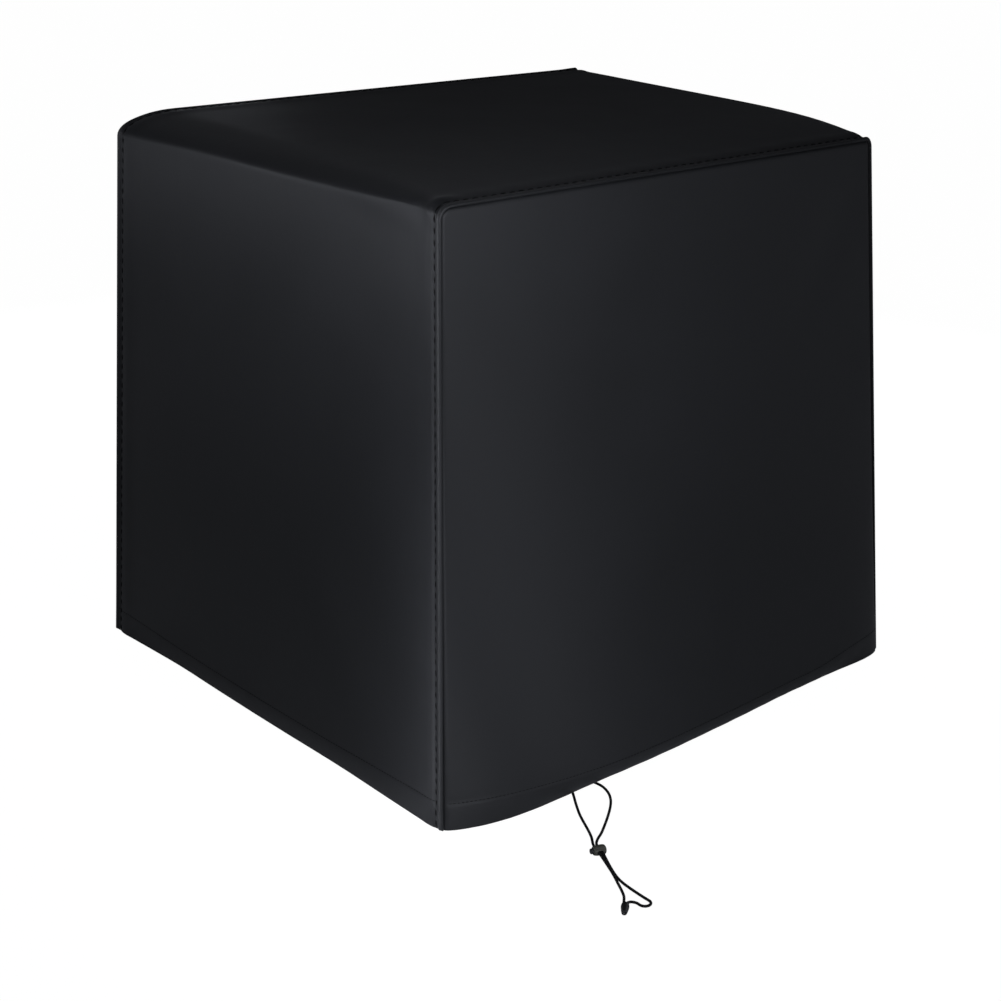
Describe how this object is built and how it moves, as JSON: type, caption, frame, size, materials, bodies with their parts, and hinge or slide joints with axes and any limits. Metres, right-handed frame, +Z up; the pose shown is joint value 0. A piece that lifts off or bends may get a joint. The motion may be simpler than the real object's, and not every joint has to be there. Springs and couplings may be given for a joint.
{
  "type": "pool filter cover",
  "caption": "Hollow box-shaped cloth cover with a soft rounded top, lapped end panels and a drawcord hem with a cord lock.",
  "frame": {"origin": "underside of the top at its middle, where the filter inside holds the cover up", "axes": "+Z up, +X along the front end panel to the right as seen from in front, +Y from the front end panel to the back one"},
  "size_m": [0.7239, 0.9424, 0.6662],
  "materials": {
    "cover_cloth": "smooth coated black weave with a soft sheen",
    "drawcord": "black braid",
    "lock_body": "dark olive grey moulded plastic",
    "black_plastic": "black moulded plastic"
  },
  "bodies": {
    "cover": {"wrap_panel": "cover_cloth", "front_end_panel": "cover_cloth", "back_end_panel": "cover_cloth", "drawcord_left": "drawcord", "drawcord_right": "drawcord", "cord_lock_body": "lock_body", "cord_end": "black_plastic"},
    "lock_button": {"cord_lock_button": "black_plastic"}
  },
  "joints": [
    {"name": "button_press", "type": "slide", "parent": "cover", "child": "lock_button", "axis": [0.9397, -0.342, 0], "range_m": [0, 0.0022], "stiffness_N_per_m": 400}
  ]
}
